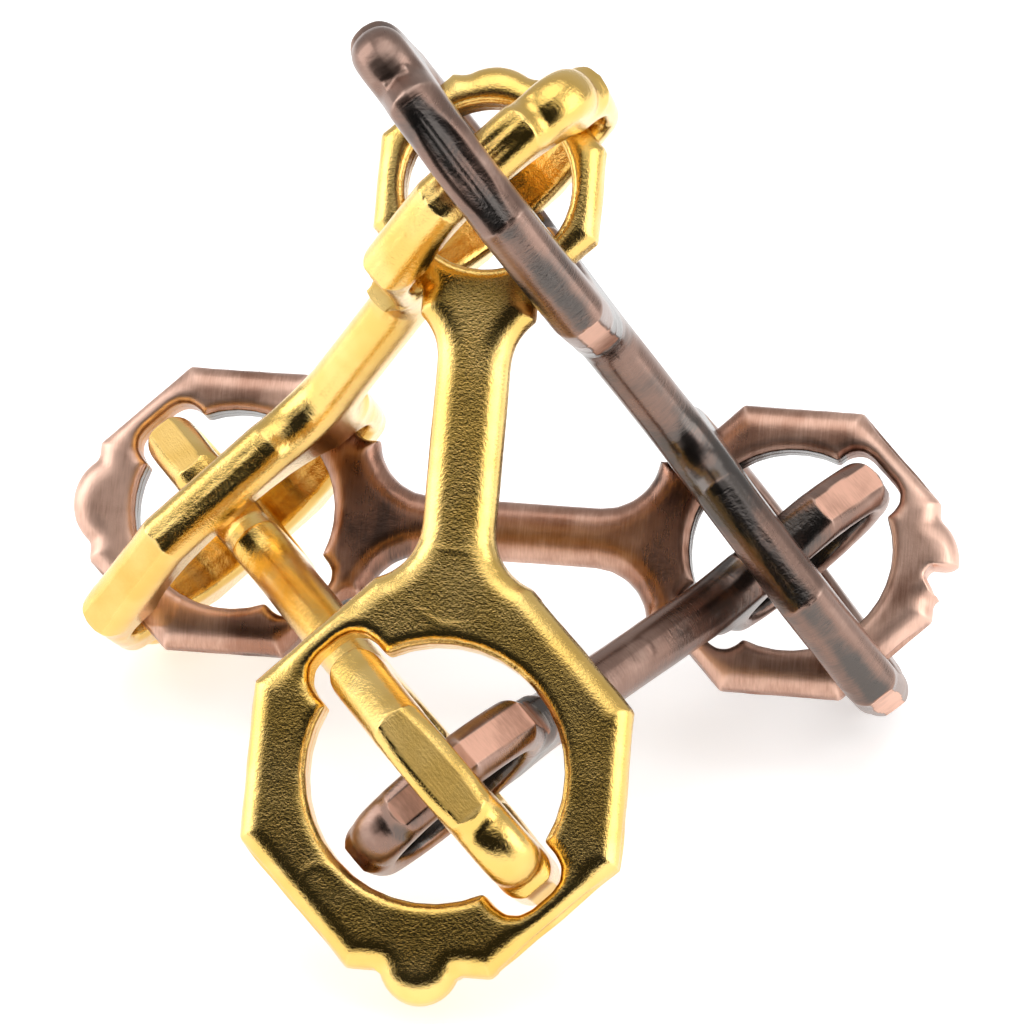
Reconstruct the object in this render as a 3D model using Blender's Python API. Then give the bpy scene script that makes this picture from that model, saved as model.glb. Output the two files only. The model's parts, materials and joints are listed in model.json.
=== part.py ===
"""Cage of six cast metal links: a ring disentanglement puzzle, standing on three of its rings.

Each link is one casting, an octagonal ring on either end of a bar. The six bars lie on the six
edges of a regular tetrahedron, so three rings share each corner, one of every size, nested
inside each other at right angles. Metres, +Z up. The cage stands on the tips of three rings at
z = 0, with the middle of its box over the origin.
"""
import math

import bmesh
import bpy
from mathutils import Euler, Matrix, Vector
from mathutils.geometry import tessellate_polygon

MM = 0.001

# Driving dimensions
RING_SPACING = 45.0 * MM        # centre to centre of a link's two rings
THICKNESS = 4.3 * MM            # every casting is a plate of this thickness
BAR_FILLET = 4.5 * MM           # radius of the flare from a bar into a ring
NOTCH_HALF_WIDTH = 3.0 * MM     # inner notch that lets the next smaller ring sit across
RING_BEVEL = (1.1 * MM, 0.75 * MM)    # outer bevel of a ring: inset in plan, depth
BAR_BEVEL = (1.9 * MM, 1.3 * MM)      # the bars are rounder than the rings
HOLE_BEVEL = (0.6 * MM, 0.45 * MM)
HOLE_STEPS = 36
ARC_STEPS = 5
LOBE_STEPS = 6

# One entry for each ring size. The radii are half the distance across the flats, the flare starts
# at shoulder, and lobe is the tip of the bump on the ring's far end, with its half width.
RINGS = {
    "small": {"rank": 0, "apothem": 8.7 * MM, "hole": 6.45 * MM, "far": 8.7 * MM,
              "shoulder": 4.4 * MM, "flare": 13.4 * MM, "lobe": (9.5 * MM, 2.4 * MM)},
    "medium": {"rank": 1, "apothem": 11.6 * MM, "hole": 8.1 * MM, "far": 11.6 * MM,
               "shoulder": 6.6 * MM, "flare": 15.6 * MM, "lobe": (13.4 * MM, 3.4 * MM),
               "notch": (9.8 * MM, 1.6 * MM)},
    "large": {"rank": 2, "apothem": 14.5 * MM, "hole": 9.8 * MM, "far": 15.0 * MM,
              "shoulder": 6.0 * MM, "flare": 18.9 * MM, "lobe": (17.4 * MM, 3.0 * MM),
              "notch": (12.6 * MM, 2.0 * MM)},
}

# Name: the two corners that the link joins, its ring size at each, half the bar's width, finish
LINKS = {
    "gold_link_small_large": (("top", "small"), ("front", "large"), 2.8 * MM, "gold"),
    "bronze_link_medium_medium": (("left", "medium"), ("right", "medium"), 2.4 * MM, "bronze"),
    "gold_link_medium_large": (("top", "medium"), ("left", "large"), 2.7 * MM, "gold"),
    "bronze_link_large_large": (("top", "large"), ("right", "large"), 2.6 * MM, "bronze"),
    "gold_link_small_medium": (("left", "small"), ("front", "medium"), 2.6 * MM, "gold"),
    "bronze_link_small_small": (("right", "small"), ("front", "small"), 2.5 * MM, "bronze"),
}

# How each link lies in its free play: its shift along its own axes, and its turn in degrees
SETTLED = {
    "gold_link_small_large": ((0, 0, 0.1 * MM), (0, -1.4, 0)),
    "bronze_link_medium_medium": ((0.2 * MM, 0, 0.15 * MM), (-2.1, 0, 0)),
    "gold_link_medium_large": ((0, -0.1 * MM, -0.15 * MM), (-1.4, 0.2, 0.4)),
    "bronze_link_large_large": ((0.1 * MM, 0, -0.55 * MM), (4.5, 0.9, -0.1)),
    "gold_link_small_medium": ((-0.4 * MM, -0.45 * MM, -0.15 * MM), (-0.35, 0.5, -1.1)),
    "bronze_link_small_small": ((-0.9 * MM, 0.55 * MM, 0.45 * MM), (-1.4, -1.1, 1.6)),
}

FINISHES = {
    "gold": {"color": (0.83, 0.58, 0.20), "roughness": 0.18},
    "bronze": {"color": (0.36, 0.20, 0.15), "roughness": 0.35},
}

OCTAGON = math.tan(math.pi / 8)


def clear_scene():
    for old in list(bpy.data.objects):
        bpy.data.objects.remove(old, do_unlink=True)


def tetrahedron():
    """The corners of a regular tetrahedron standing on its base, and its centre."""
    radius = RING_SPACING / math.sqrt(3)
    height = RING_SPACING * math.sqrt(2 / 3)
    angles = {"front": -90, "right": 30, "left": 150}
    corners = {name: Vector((radius * math.cos(math.radians(angle)),
                             radius * math.sin(math.radians(angle)), 0))
               for name, angle in angles.items()}
    corners["top"] = Vector((0, 0, height))
    return corners, Vector((0, 0, height / 4))


def arc(center, radius, start, end, steps):
    """Points on a circle between two angles, both ends included."""
    return [Vector((center[0] + radius * math.cos(start + (end - start) * i / steps),
                    center[1] + radius * math.sin(start + (end - start) * i / steps)))
            for i in range(steps + 1)]


def half_ring(size, bar_half):
    """Upper half of a ring's outline, from its bar to the tip of its far lobe.

    The ring's centre is the origin, and the bar lies on the side of negative x.
    """
    ring = RINGS[size]
    apothem = ring["apothem"]
    shoulder = ring["shoulder"]
    diagonal = apothem * math.sqrt(2)
    flare_y = bar_half + BAR_FILLET
    shoulder_angle = math.pi - math.asin((shoulder - flare_y) / BAR_FILLET)
    start, end = -math.pi / 2, -2 * math.pi + shoulder_angle
    outline = [Vector((-p.x, p.y))
               for p in arc((ring["flare"], flare_y), BAR_FILLET, start, end, ARC_STEPS)]
    if diagonal - shoulder < -outline[-1].x - RING_BEVEL[0] / 2:
        outline.append(Vector((shoulder - diagonal, shoulder)))
    outline += [Vector((-apothem * OCTAGON, apothem)),
                Vector((apothem * OCTAGON, apothem)),
                Vector((ring["far"], diagonal - ring["far"]))]
    tip, half_width = ring["lobe"]
    rise = tip - ring["far"]
    radius = (half_width ** 2 + rise ** 2) / (2 * rise)
    outline += arc((tip - radius, 0), radius, math.asin(half_width / radius), 0, LOBE_STEPS)
    return outline


def link_outline(left_size, right_size, bar_half):
    """The whole outer outline, anticlockwise, with the middle of the bar at the origin."""
    half_span = RING_SPACING / 2
    right = [Vector((p.x + half_span, p.y)) for p in half_ring(right_size, bar_half)]
    left = [Vector((-p.x - half_span, p.y)) for p in half_ring(left_size, bar_half)]
    lower_right = [Vector((p.x, -p.y)) for p in right]
    lower_left = [Vector((p.x, -p.y)) for p in left]
    return lower_right + right[-2::-1] + left + lower_left[-2::-1]


def hole_outline(center_x, size, notch_angle):
    """A ring's hole, clockwise, with two opposite notches where a smaller ring sits across."""
    radius = RINGS[size]["hole"]
    points = []
    if notch_angle is None:
        points = arc((0, 0), radius, 0, 2 * math.pi, HOLE_STEPS)[:-1]
    else:
        reach, corner = RINGS[size]["notch"]
        half_open = math.asin(NOTCH_HALF_WIDTH / radius)
        side = NOTCH_HALF_WIDTH - corner
        notch = arc((reach - corner, -side), corner, -math.pi / 2, 0, 3)
        notch += arc((reach - corner, side), corner, 0, math.pi / 2, 3)
        round_steps = HOLE_STEPS // 2 - 4
        for half_turn in (0, math.pi):
            turn = Matrix.Rotation(notch_angle + half_turn, 2)
            points += [turn @ p for p in notch]
            points += [turn @ p for p in arc((0, 0), radius, half_open, math.pi - half_open,
                                             round_steps)]
    return [Vector((p.x + center_x, p.y)) for p in reversed(points)]


def bar_share(x, left_size, right_size):
    """1 along the bar, falling to 0 where the flares meet the rings."""
    half_span = RING_SPACING / 2
    size = right_size if x > 0 else left_size
    ring = RINGS[size]
    from_ring = half_span - abs(x)
    share = (from_ring - ring["apothem"]) / (ring["flare"] - ring["apothem"])
    share = min(max(share, 0), 1)
    return share * share * (3 - 2 * share)


def inset(loop, widths):
    """The loop moved into the metal by each point's own width, with mitred corners."""
    moved = []
    for i, point in enumerate(loop):
        before = (point - loop[i - 1]).normalized()
        after = (loop[(i + 1) % len(loop)] - point).normalized()
        inward = Vector((-before.y - after.y, before.x + after.x)).normalized()
        across = max(inward.dot(Vector((-after.y, after.x))), 0.5)
        moved.append(point + inward * (widths[i] / across))
    return moved


def bevelled_plate(mesh_name, loops, bevels):
    """A closed plate: each loop is a wall with a bevel at its top and bottom edges."""
    body = bmesh.new()
    half = THICKNESS / 2
    top_rows, bottom_rows, caps = [], [], []
    for loop, loop_bevels in zip(loops, bevels):
        face_loop = inset(loop, [width for width, _ in loop_bevels])
        caps.append([p.to_3d() for p in face_loop])
        rows = [[body.verts.new((p.x, p.y, -half)) for p in face_loop],
                [body.verts.new((p.x, p.y, deep - half)) for p, (_, deep) in zip(loop, loop_bevels)],
                [body.verts.new((p.x, p.y, half - deep)) for p, (_, deep) in zip(loop, loop_bevels)],
                [body.verts.new((p.x, p.y, half)) for p in face_loop]]
        for low, high in zip(rows, rows[1:]):
            for i in range(len(loop)):
                j = (i + 1) % len(loop)
                body.faces.new((low[i], low[j], high[j], high[i]))
        bottom_rows += rows[0]
        top_rows += rows[-1]
    for triangle in tessellate_polygon(caps):
        body.faces.new([top_rows[i] for i in triangle])
        body.faces.new([bottom_rows[i] for i in reversed(triangle)])
    bmesh.ops.recalc_face_normals(body, faces=body.faces)
    mesh = bpy.data.meshes.new(mesh_name)
    body.to_mesh(mesh)
    body.free()
    return mesh


def metal(name):
    finish = FINISHES[name]
    material = bpy.data.materials.get(name) or bpy.data.materials.new(name)
    material.use_nodes = True
    shader = material.node_tree.nodes["Principled BSDF"]
    shader.inputs["Base Color"].default_value = (*finish["color"], 1)
    shader.inputs["Metallic"].default_value = 1
    shader.inputs["Roughness"].default_value = finish["roughness"]
    return material


def link_frames(corners, center):
    """Each link's pose: x along its bar, z out of the cage, origin at the bar's middle."""
    frames = {}
    for name, (start, end, _, _) in LINKS.items():
        middle = (corners[start[0]] + corners[end[0]]) / 2
        along = (corners[end[0]] - corners[start[0]]).normalized()
        outward = (middle - center).normalized()
        rotation = Matrix((along, outward.cross(along), outward)).transposed()
        frames[name] = Matrix.Translation(middle) @ rotation.to_4x4()
    return frames


def notch_angle(name, corner, frames):
    """Where the next smaller ring at this corner crosses a link's ring, in the link's plane."""
    ranks = {}
    for other, ends in LINKS.items():
        for end_corner, size in ends[:2]:
            if end_corner == corner:
                ranks[other] = RINGS[size]["rank"]
    inner = [other for other, rank in ranks.items() if rank == ranks[name] - 1]
    if not inner:
        return None
    normal = frames[name].col[2].to_3d()
    crossing = frames[name].inverted().to_3x3() @ normal.cross(frames[inner[0]].col[2].to_3d())
    return math.atan2(crossing.y, crossing.x)


def settled(name, frame):
    """A link's pose after its own small shift and turn."""
    shift, turn = SETTLED[name]
    angles = Euler([math.radians(angle) for angle in turn])
    return frame @ Matrix.Translation(shift) @ angles.to_matrix().to_4x4()


def make_link(name, frames):
    start, end, bar_half, finish = LINKS[name]
    outer = link_outline(start[1], end[1], bar_half)
    holes = [hole_outline(side * RING_SPACING / 2, size, notch_angle(name, corner, frames))
             for side, (corner, size) in ((-1, start), (1, end))]
    outer_bevels = []
    for point in outer:
        share = bar_share(point.x, start[1], end[1])
        outer_bevels.append([ring + (bar - ring) * share
                             for ring, bar in zip(RING_BEVEL, BAR_BEVEL)])
    bevels = [outer_bevels] + [[HOLE_BEVEL] * len(hole) for hole in holes]
    mesh = bevelled_plate(name, [outer] + holes, bevels)
    mesh.materials.append(metal(finish))
    link = bpy.data.objects.new(name, mesh)
    link.matrix_world = settled(name, frames[name])
    bpy.context.scene.collection.objects.link(link)
    return link


def main():
    clear_scene()
    corners, center = tetrahedron()
    frames = link_frames(corners, center)
    links = [make_link(name, frames) for name in LINKS]
    points = [link.matrix_world @ v.co for link in links for v in link.data.vertices]
    low = [min(p[axis] for p in points) for axis in range(3)]
    high = [max(p[axis] for p in points) for axis in range(3)]
    base = Vector(((low[0] + high[0]) / 2, (low[1] + high[1]) / 2, low[2]))
    for link in links:
        link.location -= base


main()
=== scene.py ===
"""A cage of six cast metal links: three plated in gold, three in antique copper.

Each CAD link is a plain bevelled plate. The casting that replaces it keeps its size and place,
and has what the casting and finishing of the real one left: soft edges, barrel-shaped bars,
parting lines, ground flats, an uneven skin, and patina that is worn away on the high spots.
"""
import json
import math

import bpy
import numpy as np
from mathutils import Matrix, Vector

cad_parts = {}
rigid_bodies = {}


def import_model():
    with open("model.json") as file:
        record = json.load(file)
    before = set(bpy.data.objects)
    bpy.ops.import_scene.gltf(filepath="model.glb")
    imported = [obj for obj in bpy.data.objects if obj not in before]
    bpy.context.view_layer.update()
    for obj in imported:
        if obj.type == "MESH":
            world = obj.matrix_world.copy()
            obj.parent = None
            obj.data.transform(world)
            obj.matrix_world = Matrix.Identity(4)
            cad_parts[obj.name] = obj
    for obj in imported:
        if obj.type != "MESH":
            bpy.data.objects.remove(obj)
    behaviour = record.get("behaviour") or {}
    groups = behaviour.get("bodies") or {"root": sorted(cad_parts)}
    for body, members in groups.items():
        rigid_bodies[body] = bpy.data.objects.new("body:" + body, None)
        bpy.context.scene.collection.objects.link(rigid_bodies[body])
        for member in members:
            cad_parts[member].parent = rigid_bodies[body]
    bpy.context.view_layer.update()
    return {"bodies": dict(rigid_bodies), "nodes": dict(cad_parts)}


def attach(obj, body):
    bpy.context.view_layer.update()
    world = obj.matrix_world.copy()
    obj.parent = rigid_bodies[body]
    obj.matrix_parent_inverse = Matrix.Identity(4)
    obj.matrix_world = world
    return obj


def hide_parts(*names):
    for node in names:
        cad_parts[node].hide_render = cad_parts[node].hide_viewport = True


MM = 0.001
RING_SPACING = 45.0 * MM
HALF_THICKNESS = 2.15 * MM
VOXEL = 0.2 * MM
# As much of a link, from its tip, as holds its ring's full width
END_LENGTH = 20.0 * MM

# How far in from a wall its edges are rounded, more so on the bar, and how deep at the holes
OUTER_ROUNDING = 2.1 * MM
BAR_ROUNDING = 0.4 * MM
HOLE_ROUNDING = 0.9 * MM
HOLE_ROUNDING_DEPTH = 0.8 * MM

# What finishing and casting did to the skin
GROUND_DEPTH = 0.2 * MM
STREAK_DEPTH = 0.05 * MM
HOLLOW_DEPTH = 0.25 * MM
PARTING_HEIGHT = 0.05 * MM
PARTING_WIDTH = 0.18 * MM
NICKED_LINK = "bronze_link_medium_medium"
NICK_RADIUS = 1.35 * MM
NICK_FROM_TIP = 1.3 * MM
NICK_ACROSS = -1.5 * MM

# Half a flat's length over its distance from the centre, for an octagon
HALF_FLAT = 0.414

MIDDLE = Vector((0, 0, 0.03))
LOOK_AT = Vector((-0.0002, -0.00014, 0.03074))

# Half the width across the flats, the hole's radius and the tip of the far lobe, from the centre
RINGS = {
    "small": (8.7 * MM, 6.45 * MM, 9.5 * MM),
    "medium": (11.6 * MM, 8.1 * MM, 13.4 * MM),
    "large": (14.5 * MM, 9.8 * MM, 17.4 * MM),
}

# A link's ring at its -x and +x end, its finish and a seed for its own unevenness
LINKS = {
    "gold_link_small_large": ("small", "large", "gold", 11),
    "bronze_link_medium_medium": ("medium", "medium", "copper", 12),
    "gold_link_medium_large": ("medium", "large", "gold", 13),
    "bronze_link_large_large": ("large", "large", "copper", 14),
    "gold_link_small_medium": ("small", "medium", "gold", 15),
    "bronze_link_small_small": ("small", "small", "copper", 16),
}

# The outer flats that were ground, as (end, flat): flat 1 is next to the far lobe and flat 3
# next to the bar, on both sides of the bar alike
GROUND = {
    "gold_link_small_large": (),
    "bronze_link_medium_medium": (),
    "gold_link_medium_large": ((0, 3), (1, 2)),
    "bronze_link_large_large": ((0, 3), (1, 1)),
    "gold_link_small_medium": ((0, 2), (1, 1)),
    "bronze_link_small_small": ((0, 2), (1, 3), (1, 2), (1, 1)),
}

# How dark each copper link stayed
PATINA = {"bronze_link_medium_medium": 0.1, "bronze_link_large_large": 0.9,
          "bronze_link_small_small": 0.8}

GOLD_DEEP = (0.80, 0.52, 0.14)
GOLD_BRIGHT = (0.90, 0.62, 0.21)
# A paler gold for the convex edges: a painted highlight
GOLD_PAINTED_EDGE_HIGHLIGHT = (0.96, 0.74, 0.34)
# A deeper gold for the hole walls: painted shade and painted reflections of the gold walls in
# each other
GOLD_PAINTED_HOLE_SHADE = (0.84, 0.44, 0.08)
COPPER_BLACK = (0.055, 0.048, 0.044)
COPPER_BROWN = (0.36, 0.18, 0.12)
COPPER_PINK = (0.84, 0.55, 0.43)
COPPER_GREY = (0.17, 0.15, 0.138)


# ---------------------------------------------------------------- numbers on vertices

def coordinates(mesh):
    flat = np.empty(len(mesh.vertices) * 3, np.float32)
    mesh.vertices.foreach_get("co", flat)
    return flat.reshape(-1, 3).astype(float)


def set_coordinates(mesh, points):
    mesh.vertices.foreach_set("co", points.astype(np.float32).ravel())
    mesh.update()


def normals(mesh):
    flat = np.empty(len(mesh.vertices) * 3, np.float32)
    mesh.vertices.foreach_get("normal", flat)
    return flat.reshape(-1, 3).astype(float)


def edges(mesh):
    flat = np.empty(len(mesh.edges) * 2, np.int32)
    mesh.edges.foreach_get("vertices", flat)
    return flat.reshape(-1, 2)


def neighbour_mean(values, pairs, counts):
    """The mean of each vertex's neighbours, for an array of one or more columns."""
    columns = values.reshape(len(values), -1)
    total = np.stack([np.bincount(pairs[:, 0], column[pairs[:, 1]], len(values))
                      + np.bincount(pairs[:, 1], column[pairs[:, 0]], len(values))
                      for column in columns.T], axis=1)
    return (total / counts[:, None]).reshape(values.shape)


def smoothed(values, pairs, counts, times):
    """The values, moved halfway to their neighbours' mean a number of times."""
    for _ in range(times):
        values = values + (neighbour_mean(values, pairs, counts) - values) * 0.5
    return values


def smooth_step(low, high, values):
    """0 up to low, 1 from high on and a soft step between."""
    t = np.clip((values - low) / (high - low), 0, 1)
    return t * t * (3 - 2 * t)


def lattice(cells, seed):
    """A number from -1 to 1 for each whole-number cell."""
    x, y, z = (cells[:, i].astype(np.uint32) for i in range(3))
    mixed = x * np.uint32(374761393) + y * np.uint32(668265263) + z * np.uint32(2147483647)
    mixed = mixed + np.uint32(seed * 1013904223 % 2 ** 32)
    mixed = (mixed ^ (mixed >> np.uint32(13))) * np.uint32(1274126177)
    mixed = mixed ^ (mixed >> np.uint32(16))
    return mixed.astype(float) / 2 ** 31 - 1


def noise(points, size, seed):
    """Smooth noise from -1 to 1 with bumps about size across."""
    scaled = points / size + 200
    low = np.floor(scaled).astype(np.int64)
    t = scaled - low
    t = t * t * (3 - 2 * t)
    value = 0
    for corner in np.ndindex(2, 2, 2):
        share = np.prod(np.where(np.array(corner), t, 1 - t), axis=1)
        value = value + share * lattice(low + np.array(corner), seed)
    return value


# ---------------------------------------------------------------- the castings

def local_frame(points, sizes):
    """A link's pose: x along its bar to the ring named second, z square to its plate."""
    center = points.mean(0)
    spread = points - center
    plate_normal = np.linalg.svd(spread, full_matrices=False)[2][2]
    # Square to the points of one face, found again with each better normal
    for _ in range(3):
        height = spread @ plate_normal
        face = np.abs(height - height.max()) < 0.02 * MM
        plate_normal = np.linalg.svd(spread[face] - spread[face].mean(0),
                                     full_matrices=False)[2][2]
    # The two tips are the points furthest from each other
    first = points[np.argmax((spread ** 2).sum(1))]
    second = points[np.argmax(((points - first) ** 2).sum(1))]
    first = points[np.argmax(((points - second) ** 2).sum(1))]
    flat = [tip - plate_normal * ((tip - center) @ plate_normal) for tip in (first, second)]
    along = (flat[1] - flat[0]) / np.linalg.norm(flat[1] - flat[0])
    across = np.cross(plate_normal, along)
    width = []
    for tip, inward in zip(flat, (along, -along)):
        from_tip = (points - tip) @ inward
        width.append(np.ptp(points[(from_tip > 0) & (from_tip < END_LENGTH)] @ across))
    # x runs to the larger ring or, between equal rings, down, or if level to the right or front
    if sizes[0] == sizes[1]:
        swap = along[2] > 0.2 or (abs(along[2]) <= 0.2 and along[0] < 0)
        if abs(along[2]) <= 0.2 and abs(along[0]) < 0.8:
            swap = along[1] > 0
    else:
        swap = width[0] > width[1]
    if swap:
        flat, along = flat[::-1], -along
    if plate_normal[1] > 0:
        plate_normal = -plate_normal
    across = np.cross(plate_normal, along)
    tips = [RINGS[size][2] for size in sizes]
    middle = flat[0] + along * (tips[0] + RING_SPACING / 2)
    pose = Matrix.Identity(4)
    for column, vector in enumerate((along, across, plate_normal, middle)):
        pose.col[column].xyz = vector
    return pose


def evaluated_copy(obj):
    """A mesh with the object's modifiers applied."""
    graph = bpy.context.evaluated_depsgraph_get()
    return bpy.data.meshes.new_from_object(obj.evaluated_get(graph), depsgraph=graph)


def remeshed(mesh, cutters):
    """An even fine skin over the plain link, less what the cutters take away."""
    work = bpy.data.objects.new("work", mesh)
    bpy.context.scene.collection.objects.link(work)
    for cutter in cutters:
        cut = work.modifiers.new("cut", "BOOLEAN")
        cut.operation = "DIFFERENCE"
        cut.solver = "EXACT"
        cut.object = cutter
    skin = work.modifiers.new("skin", "REMESH")
    skin.mode = "VOXEL"
    skin.voxel_size = VOXEL
    bpy.context.view_layer.update()
    result = evaluated_copy(work)
    for obj in [work, *cutters]:
        bpy.data.objects.remove(obj)
    return result


def nick():
    """The cutter for the nick beside the tip of a medium ring's lobe."""
    tip = RING_SPACING / 2 + RINGS["medium"][2]
    return post((tip - NICK_FROM_TIP, NICK_ACROSS), NICK_RADIUS, 3 * MM)


def post(center, radius, stretch):
    """A round cutter through the plate, stretched outwards along x."""
    steps = 32
    ring = []
    for i in range(steps):
        angle = 2 * math.pi * i / steps
        reach = stretch if math.cos(angle) > 0 else 0
        ring.append((center[0] + radius * math.cos(angle) + reach,
                     center[1] + radius * math.sin(angle)))
    height = 3 * MM
    verts = [(x, y, z) for z in (-height, height) for x, y in ring]
    faces = [tuple(range(steps))[::-1], tuple(range(steps, 2 * steps))]
    faces += [(i, (i + 1) % steps, steps + (i + 1) % steps, steps + i) for i in range(steps)]
    mesh = bpy.data.meshes.new("post")
    mesh.from_pydata(verts, [], faces)
    cutter = bpy.data.objects.new("post", mesh)
    cutter.hide_render = True
    bpy.context.scene.collection.objects.link(cutter)
    return cutter


def wall_lines(mesh, sizes):
    """The outer walls and the hole walls as lines in plan: start, end and the way inwards."""
    mesh.calc_loop_triangles()
    outer, holes = [], []
    for triangle in mesh.loop_triangles:
        if abs(triangle.normal.z) > 0.05:
            continue
        corners = [mesh.vertices[i].co for i in triangle.vertices]
        for p, q in zip(corners, corners[1:] + corners[:1]):
            if min(p.z, q.z) > 0.2 * MM:
                middle = (p + q) / 2
                size = sizes[int(middle.x > 0)]
                # Only a hole's walls are well nearer to the ring's centre than its flats
                from_center = math.hypot(abs(middle.x) - RING_SPACING / 2, middle.y)
                group = holes if from_center < RINGS[size][0] - 1.2 * MM else outer
                group.append((*p.xy, *q.xy, -triangle.normal.x, -triangle.normal.y))
    return np.array(outer), np.array(holes)


def distance(points, lines):
    """How far each point is inside the nearest wall, and the way inwards from it."""
    start, end, inwards = lines[:, 0:2], lines[:, 2:4], lines[:, 4:6]
    run = end - start
    far = np.empty(len(points))
    way = np.empty((len(points), 2))
    batch = 8000
    for low in range(0, len(points), batch):
        p = points[low:low + batch, None, :2]
        t = np.clip(((p - start) * run).sum(2) / (run * run).sum(1), 0, 1)
        gap = p - (start + t[:, :, None] * run)
        length = np.hypot(gap[:, :, 0], gap[:, :, 1])
        nearest = length.argmin(1)
        rows = np.arange(len(nearest))
        d = length[rows, nearest]
        g = np.where((d > 0.05 * MM)[:, None], gap[rows, nearest] / np.maximum(d, 1e-9)[:, None],
                     inwards[nearest])
        far[low:low + batch] = d
        way[low:low + batch] = g
    return far, way


def rounded(points, inside, way, width, depth, power):
    """Rounds an edge: width in plan and depth in thickness, on a superellipse."""
    height = np.abs(points[:, 2])
    base = HALF_THICKNESS - depth
    near = (inside < width) & (height > base)
    width = np.broadcast_to(width, inside.shape)[near]
    a = 1 - inside[near] / width
    b = (height[near] - base) / depth
    rho = np.maximum((a ** power + b ** power) ** (1 / power), 1e-6)
    move = (1 - a / rho) * width - inside[near]
    points[near, :2] += way[near] * move[:, None]
    points[near, 2] = np.sign(points[near, 2]) * (base + b / rho * depth)


class Places:
    """Where each vertex is on its link: at which end, and where about the ring there.

    The last three are 1 on the bar, by the wall of a hole and at the neck, and 0 away from them.
    """

    def __init__(self, points, sizes):
        self.end = (points[:, 0] > 0).astype(int)
        self.away = np.where(self.end == 1, 1, -1)
        self.apothem, self.hole = (np.array([RINGS[size][i] for size in sizes])[self.end]
                                   for i in range(2))
        ring_x = self.ring_x(points)
        self.radius = np.hypot(ring_x, points[:, 1])
        self.bar = smooth_step(self.apothem * 1.02, self.apothem * 1.02 + 4 * MM, -ring_x)
        self.inner = smooth_step(self.hole + 1.0 * MM, self.hole + 0.4 * MM, self.radius)
        self.neck = np.exp(-((ring_x + self.apothem * 0.98) / (4 * MM)) ** 2)

    def ring_x(self, points):
        """How far each point is past its ring's centre, away from the bar."""
        return points[:, 0] * self.away - RING_SPACING / 2


def soften_edges(points, mesh, sizes, bar):
    """Rounds the edges of the outer walls broadly and those of the holes a little."""
    outer_walls, hole_walls = wall_lines(mesh, sizes)
    to_outer, outer_way = distance(points, outer_walls)
    to_hole, hole_way = distance(points, hole_walls)
    round_outer = OUTER_ROUNDING + BAR_ROUNDING * bar
    room = np.minimum(1, (to_outer + to_hole) / (round_outer + HOLE_ROUNDING))
    rounded(points, to_outer, outer_way, round_outer * room, HALF_THICKNESS, 2.2)
    rounded(points, to_hole, hole_way, HOLE_ROUNDING * room, HOLE_ROUNDING_DEPTH, 2.0)


def cast_skin(points, wall, seed):
    """How far casting lifted the skin at each point."""
    # Waves of the pattern and the orange-peel skin
    lift = 0.030 * MM * noise(points, 6.0 * MM, seed)
    lift += 0.010 * MM * noise(points, 2.2 * MM, seed + 1)
    lift += 0.0030 * MM * noise(points, 0.8 * MM, seed + 2)
    # A few creases where the metal flowed
    crease = np.exp(-(noise(points, 4.0 * MM, seed + 5) / 0.06) ** 2)
    crease *= smooth_step(0.35, 0.6, noise(points, 7.0 * MM, seed + 6))
    lift += 0.035 * MM * crease
    # The parting line, at mid-thickness on every wall
    in_plan = points * [1, 1, 0]
    line = np.exp(-((points[:, 2] - 0.10 * MM * noise(in_plan, 5 * MM, seed + 3))
                    / PARTING_WIDTH) ** 2) * smooth_step(0.75, 0.95, wall)
    line *= 0.6 + 0.4 * noise(in_plan, 3 * MM, seed + 4)
    lift += PARTING_HEIGHT * line
    return lift


def finish_flats(points, places, wall, ground_flats, seed):
    """Grinds some outer walls flat and leaves the others as cast, streaky and a little hollow.

    Gives how far each vertex is on a ground flat and on a rough one.
    """
    ground = np.zeros(len(points))
    rough = np.zeros(len(points))
    apothem = places.apothem
    ring_x = places.ring_x(points)
    outer = (places.radius > (apothem + places.hole) / 2) & (ring_x > -apothem * 0.95)
    for k in (1, 2, 3, 5, 6, 7):
        angle = k * math.pi / 4
        normal = np.array([math.cos(angle), math.sin(angle)])
        reach = ring_x * normal[0] + points[:, 1] * normal[1]
        along = -ring_x * normal[1] + points[:, 1] * normal[0]
        is_ground = np.array([(end, min(k, 8 - k)) in ground_flats for end in (0, 1)])[places.end]
        over = np.where(outer & is_ground, reach - (apothem - GROUND_DEPTH), 0)
        cut = np.maximum(over, 0)
        ground = np.maximum(ground, smooth_step(0.0, 0.02 * MM, over))
        cast = (outer & ~is_ground & (reach > apothem - 1.2 * MM)
                & (np.abs(along) < apothem * HALF_FLAT)) * smooth_step(0.5, 0.9, wall)
        rough = np.maximum(rough, cast)
        streaks = noise(np.stack([along / 4, points[:, 2], 0 * along], axis=1), 0.5 * MM, seed)
        cut = cut + cast * (STREAK_DEPTH * (streaks + 1))
        if k in (1, 7):
            mid_flat = smooth_step(apothem * 0.4, apothem * 0.15, np.abs(along))
            off_line = smooth_step(0.1 * MM, 0.5 * MM, np.abs(points[:, 2]))
            cut = cut + HOLLOW_DEPTH * cast * mid_flat * off_line
        points[:, 0] -= cut * normal[0] * places.away
        points[:, 1] -= cut * normal[1]
    return ground, rough


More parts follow.
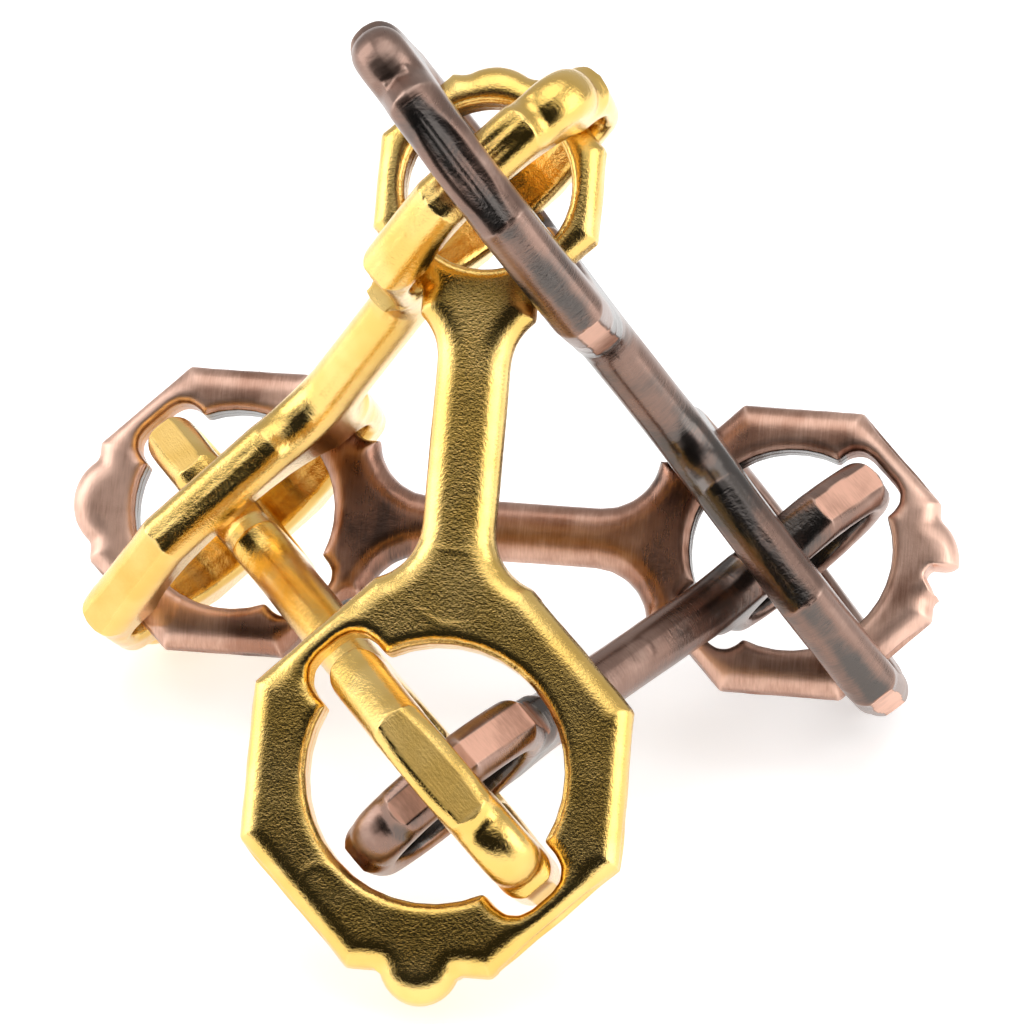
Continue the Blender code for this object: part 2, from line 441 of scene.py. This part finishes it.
def casting(node, sizes, seed):
    """The detailed casting for one CAD node."""
    mesh = frame["nodes"][node].data.copy()
    pose = local_frame(coordinates(mesh), sizes)
    mesh.transform(pose.inverted())
    skin = remeshed(mesh, [nick()] if node == NICKED_LINK else [])

    points = coordinates(skin)
    pairs = edges(skin)
    counts = np.bincount(pairs.ravel(), minlength=len(points)).astype(float)
    places = Places(points, sizes)
    soften_edges(points, mesh, sizes, places.bar)
    points = smoothed(points, pairs, counts, 3)
    set_coordinates(skin, points)
    out = normals(skin)
    wall = 1 - np.abs(out[:, 2])
    # How convex the skin is: above zero on edges, below in hollows
    convex = ((points - smoothed(points, pairs, counts, 12)) * out).sum(1)
    points += out * cast_skin(points, wall, seed)[:, None]
    ground, rough = finish_flats(points, places, wall, GROUND[node], seed + 7)
    set_coordinates(skin, points)

    # What the materials read, with each vertex's own place in millimetres
    inner = places.inner * smooth_step(0.5, 0.9, wall)
    patina = np.full(len(points), PATINA.get(node, 0))
    for name, values in (("convex", convex / MM), ("ground", ground), ("neck", places.neck),
                         ("inner", inner), ("rough", rough), ("patina", patina),
                         ("along", points[:, 0] / MM), ("across", points[:, 1] / MM),
                         ("thick", points[:, 2] / MM)):
        attribute = skin.attributes.new(name, "FLOAT", "POINT")
        attribute.data.foreach_set("value", values.astype(np.float32))
    skin.transform(pose)
    skin.shade_smooth()
    skin.materials.clear()
    name = node.replace("_link_", "_casting_")
    skin.name = name
    obj = bpy.data.objects.new(name, skin)
    bpy.context.scene.collection.objects.link(obj)
    return obj


# ---------------------------------------------------------------- materials

class Nodes:
    """A little help to write a material's nodes as expressions."""

    def __init__(self, name):
        self.material = bpy.data.materials.new(name)
        self.material.use_nodes = True
        self.tree = self.material.node_tree
        self.shader = self.tree.nodes["Principled BSDF"]

    def link(self, value, socket):
        if isinstance(value, bpy.types.NodeSocket):
            self.tree.links.new(value, socket)
        else:
            socket.default_value = value

    def attribute(self, name):
        node = self.tree.nodes.new("ShaderNodeAttribute")
        node.attribute_name = name
        return node.outputs["Fac"]

    def math(self, operation, *values):
        node = self.tree.nodes.new("ShaderNodeMath")
        node.operation = operation
        for value, socket in zip(values, node.inputs):
            self.link(value, socket)
        return node.outputs[0]

    def noise(self, vector, scale, detail=2, roughness=0.5):
        node = self.tree.nodes.new("ShaderNodeTexNoise")
        node.inputs["Scale"].default_value = scale
        node.inputs["Detail"].default_value = detail
        node.inputs["Roughness"].default_value = roughness
        self.link(vector, node.inputs["Vector"])
        return node.outputs["Fac"]

    def spread(self, value, low, high, to_low=0, to_high=1):
        node = self.tree.nodes.new("ShaderNodeMapRange")
        node.interpolation_type = "SMOOTHSTEP"
        for socket, number in zip(node.inputs, (value, low, high, to_low, to_high)):
            self.link(number, socket)
        return node.outputs[0]

    def mix(self, share, first, second):
        node = self.tree.nodes.new("ShaderNodeMix")
        node.data_type = "RGBA"
        self.link(share, node.inputs[0])
        self.link((*first, 1) if isinstance(first, tuple) else first, node.inputs[6])
        self.link((*second, 1) if isinstance(second, tuple) else second, node.inputs[7])
        return node.outputs[2]

    def vector(self, x, y, z):
        node = self.tree.nodes.new("ShaderNodeCombineXYZ")
        for value, socket in zip((x, y, z), node.inputs):
            self.link(value, socket)
        return node.outputs[0]

    def bump(self, height, distance, strength=1, before=None):
        node = self.tree.nodes.new("ShaderNodeBump")
        node.inputs["Distance"].default_value = distance
        node.inputs["Strength"].default_value = strength
        self.link(height, node.inputs["Height"])
        if before:
            self.link(before, node.inputs["Normal"])
        return node.outputs[0]


def link_coordinates(n):
    """Millimetres in the link's own directions, which move with the link."""
    return n.vector(n.attribute("along"), n.attribute("across"), n.attribute("thick"))


def cast_pits(n, here, before):
    """Small pits on the flats that were left as cast."""
    pits = n.math("MULTIPLY", n.noise(here, 2.6, 4, 0.7), n.attribute("rough"))
    return n.bump(pits, 0.06 * MM, 1, before)


def gold():
    n = Nodes("gold_plating")
    here = link_coordinates(n)
    patch = n.noise(here, 0.22, 2)
    color = n.mix(n.spread(patch, 0.35, 0.7), GOLD_DEEP, GOLD_BRIGHT)
    # Paler gold on the convex edges: a painted highlight
    color = n.mix(n.math("MULTIPLY", n.spread(n.attribute("convex"), 0.03, 0.08), 0.3), color,
                  GOLD_PAINTED_EDGE_HIGHLIGHT)
    # Deeper gold on the hole walls: painted shade and painted reflections between the walls
    color = n.mix(n.math("MULTIPLY", n.attribute("inner"), 0.35), color, GOLD_PAINTED_HOLE_SHADE)
    n.link(color, n.shader.inputs["Base Color"])
    n.shader.inputs["Metallic"].default_value = 1
    speckle = n.noise(here, 3.2, 3, 0.6)
    rough = n.spread(speckle, 0.35, 0.65, 0.09, 0.15)
    rough = n.math("ADD", rough, n.math("MULTIPLY", n.attribute("ground"), 0.38))
    n.link(rough, n.shader.inputs["Roughness"])
    peel = n.bump(n.noise(here, 1.1, 3, 0.55), 0.012 * MM, 1)
    grain = n.bump(n.noise(here, 4.2, 3, 0.7), 0.034 * MM, 1, peel)
    scratches = n.noise(n.vector(n.math("MULTIPLY", n.attribute("along"), 0.7),
                                 n.math("MULTIPLY", n.attribute("across"), 0.7),
                                 n.math("MULTIPLY", n.attribute("thick"), 7.0)), 1.0, 3, 0.6)
    scratched = n.bump(n.math("MULTIPLY", scratches, n.attribute("ground")), 0.03 * MM, 1, grain)
    n.link(cast_pits(n, here, scratched), n.shader.inputs["Normal"])
    return n.material


def copper():
    n = Nodes("antique_copper")
    here = link_coordinates(n)
    convex = n.attribute("convex")
    ground = n.attribute("ground")
    dark = n.math("MULTIPLY", n.attribute("patina"),
                  n.math("SUBTRACT", 1.0, n.math("MULTIPLY", ground, 1.1)))
    inner = n.attribute("inner")
    cloud = n.noise(here, 0.16, 3, 0.55)
    brushed = n.noise(n.vector(n.math("MULTIPLY", n.attribute("along"), 6.0),
                               n.math("MULTIPLY", n.attribute("across"), 0.5),
                               n.attribute("thick")), 1.0, 3, 0.6)
    wear = n.math("ADD", 0.55, n.math("MULTIPLY", n.spread(convex, 0.0, 0.10), 0.6))
    wear = n.math("SUBTRACT", wear, n.math("MULTIPLY", n.attribute("neck"), 0.35))
    handled = n.math("MULTIPLY", n.spread(n.math("ABSOLUTE", n.attribute("along")), 22, 34),
                     n.math("SUBTRACT", 1.0, n.attribute("patina")))
    wear = n.math("ADD", wear, n.math("MULTIPLY", handled, 0.3))
    wear = n.math("ADD", wear, n.math("MULTIPLY", ground, 0.15))
    wear = n.math("ADD", wear, n.math("MULTIPLY", n.math("SUBTRACT", brushed, 0.5), 0.35))
    wear = n.math("ADD", wear, n.math("MULTIPLY", n.math("SUBTRACT", cloud, 0.5), 1.3))
    wear = n.math("SUBTRACT", wear, n.math("MULTIPLY", inner, 0.8))
    wear = n.math("SUBTRACT", wear, n.math("MULTIPLY", n.attribute("rough"), 0.3))
    wear = n.math("SUBTRACT", wear, n.math("MULTIPLY", dark, 0.35))
    brown = n.mix(n.spread(wear, -0.1, 0.35), COPPER_BLACK, COPPER_BROWN)
    color = n.mix(n.spread(wear, 0.3, 0.95), brown, COPPER_PINK)
    color = n.mix(n.math("MULTIPLY", dark, 0.6), color, COPPER_GREY)
    n.link(color, n.shader.inputs["Base Color"])
    n.shader.inputs["Metallic"].default_value = 1
    rough = n.math("ADD", n.spread(wear, 0.1, 0.8, 0.24, 0.42), n.math("MULTIPLY", ground, 0.35))
    n.link(rough, n.shader.inputs["Roughness"])
    strokes = n.bump(brushed, 0.014 * MM, 1)
    grain = n.bump(n.noise(here, 4.0, 2, 0.6), 0.008 * MM, 1, strokes)
    n.link(cast_pits(n, here, grain), n.shader.inputs["Normal"])
    return n.material


# ---------------------------------------------------------------- studio

def aim(obj, target):
    obj.rotation_euler = (Vector(target) - obj.location).to_track_quat("-Z", "Y").to_euler()


def direction(azimuth, elevation):
    """A unit vector: azimuth 0 looks from -Y and grows towards +X."""
    az, el = math.radians(azimuth), math.radians(elevation)
    return Vector((math.sin(az) * math.cos(el), -math.cos(az) * math.cos(el), math.sin(el)))


def softbox(name, azimuth, elevation, away, size, strength):
    lamp = bpy.data.lights.new(name, "AREA")
    lamp.shape = "RECTANGLE"
    lamp.size, lamp.size_y = size
    lamp.energy = strength
    obj = bpy.data.objects.new(name, lamp)
    obj.location = MIDDLE + direction(azimuth, elevation) * away
    aim(obj, MIDDLE)
    bpy.context.scene.collection.objects.link(obj)


def dark_card(name, corners):
    """A matt dark panel that only reflections see."""
    mesh = bpy.data.meshes.new(name)
    mesh.from_pydata(corners, [], [tuple(range(len(corners)))])
    obj = bpy.data.objects.new(name, mesh)
    material = bpy.data.materials.new(name)
    material.use_nodes = True
    shader = material.node_tree.nodes["Principled BSDF"]
    shader.inputs["Base Color"].default_value = (0.004, 0.004, 0.004, 1)
    shader.inputs["Roughness"].default_value = 1
    mesh.materials.append(material)
    obj.visible_camera = False
    obj.visible_diffuse = False
    obj.visible_shadow = False
    bpy.context.scene.collection.objects.link(obj)


def floor():
    mesh = bpy.data.meshes.new("floor")
    steps, radius = 64, 3.0
    angles = [2 * math.pi * i / steps for i in range(steps)]
    verts = [(radius * math.cos(angle), radius * math.sin(angle), 0) for angle in angles]
    mesh.from_pydata(verts, [], [tuple(range(steps))])
    obj = bpy.data.objects.new("floor", mesh)
    material = bpy.data.materials.new("floor")
    material.use_nodes = True
    shader = material.node_tree.nodes["Principled BSDF"]
    shader.inputs["Base Color"].default_value = (0.9, 0.9, 0.9, 1)
    shader.inputs["Roughness"].default_value = 0.9
    shader.inputs["Emission Color"].default_value = (1, 1, 1, 1)
    shader.inputs["Emission Strength"].default_value = 0.45
    mesh.materials.append(material)
    bpy.context.scene.collection.objects.link(obj)


def world():
    """White to the camera; a softer grey room to the metal."""
    scene_world = bpy.data.worlds.new("studio")
    bpy.context.scene.world = scene_world
    scene_world.use_nodes = True
    tree = scene_world.node_tree
    tree.nodes.clear()
    out = tree.nodes.new("ShaderNodeOutputWorld")
    seen = tree.nodes.new("ShaderNodeBackground")
    seen.inputs["Color"].default_value = (1, 1, 1, 1)
    seen.inputs["Strength"].default_value = 1.0
    lit = tree.nodes.new("ShaderNodeBackground")
    lit.inputs["Color"].default_value = (1, 1, 1, 1)
    lit.inputs["Strength"].default_value = 0.6
    path = tree.nodes.new("ShaderNodeLightPath")
    mix = tree.nodes.new("ShaderNodeMixShader")
    tree.links.new(path.outputs["Is Camera Ray"], mix.inputs[0])
    tree.links.new(lit.outputs[0], mix.inputs[1])
    tree.links.new(seen.outputs[0], mix.inputs[2])
    tree.links.new(mix.outputs[0], out.inputs[0])


def camera():
    """From the front, a little from the right, and 28 degrees down, through a long lens."""
    azimuth, elevation, roll = 7.88, 28.41, math.radians(0.38)
    away, across, up_shift = 0.525, 0.0026, -0.0030
    focal_length = 239.87109375
    back = direction(azimuth, elevation)
    right = direction(azimuth + 90, 0)
    up = back.cross(right)
    lens = bpy.data.cameras.new("camera")
    lens.sensor_width = 36
    lens.lens = focal_length
    lens.clip_start = 0.01
    obj = bpy.data.objects.new("camera", lens)
    rotation = Matrix((right, up, back)).transposed()
    place = LOOK_AT + back * away + right * across + up * up_shift
    obj.matrix_world = (Matrix.Translation(place) @ rotation.to_4x4()
                        @ Matrix.Rotation(roll, 4, "Z"))
    bpy.context.scene.collection.objects.link(obj)
    bpy.context.scene.camera = obj


# ---------------------------------------------------------------- the scene

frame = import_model()
finishes = {"gold": (gold(), "gold_plating"), "copper": (copper(), "antique_copper")}
for node_name, (small_end, large_end, finish, link_seed) in LINKS.items():
    piece = casting(node_name, (small_end, large_end), link_seed)
    piece.data.materials.append(finishes[finish][0])
    body = next(name for name, empty in frame["bodies"].items()
                if frame["nodes"][node_name].parent == empty)
    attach(piece, body)
    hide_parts(node_name)

floor()
world()
camera()
softbox("left_box", -88, 22, 0.8, (0.6, 0.8), 3.2)
softbox("right_box", 80, 22, 0.8, (0.6, 0.8), 3.2)
softbox("top_box", 0, 85, 0.9, (0.8, 0.8), 2.5)
dark_card("front_card", [(-0.62, -0.5, 0.002), (0.62, -0.5, 0.002),
                         (0.6, -0.6, 0.7), (-0.6, -0.6, 0.7)])
dark_card("front_sheet", [(-0.07, -0.11, 0.001), (0.07, -0.11, 0.001), (0.6, -0.30, 0.001),
                          (0.7, -0.8, 0.001), (-0.7, -0.8, 0.001), (-0.5, -0.30, 0.001)])
bpy.context.scene.view_settings.view_transform = "Standard"
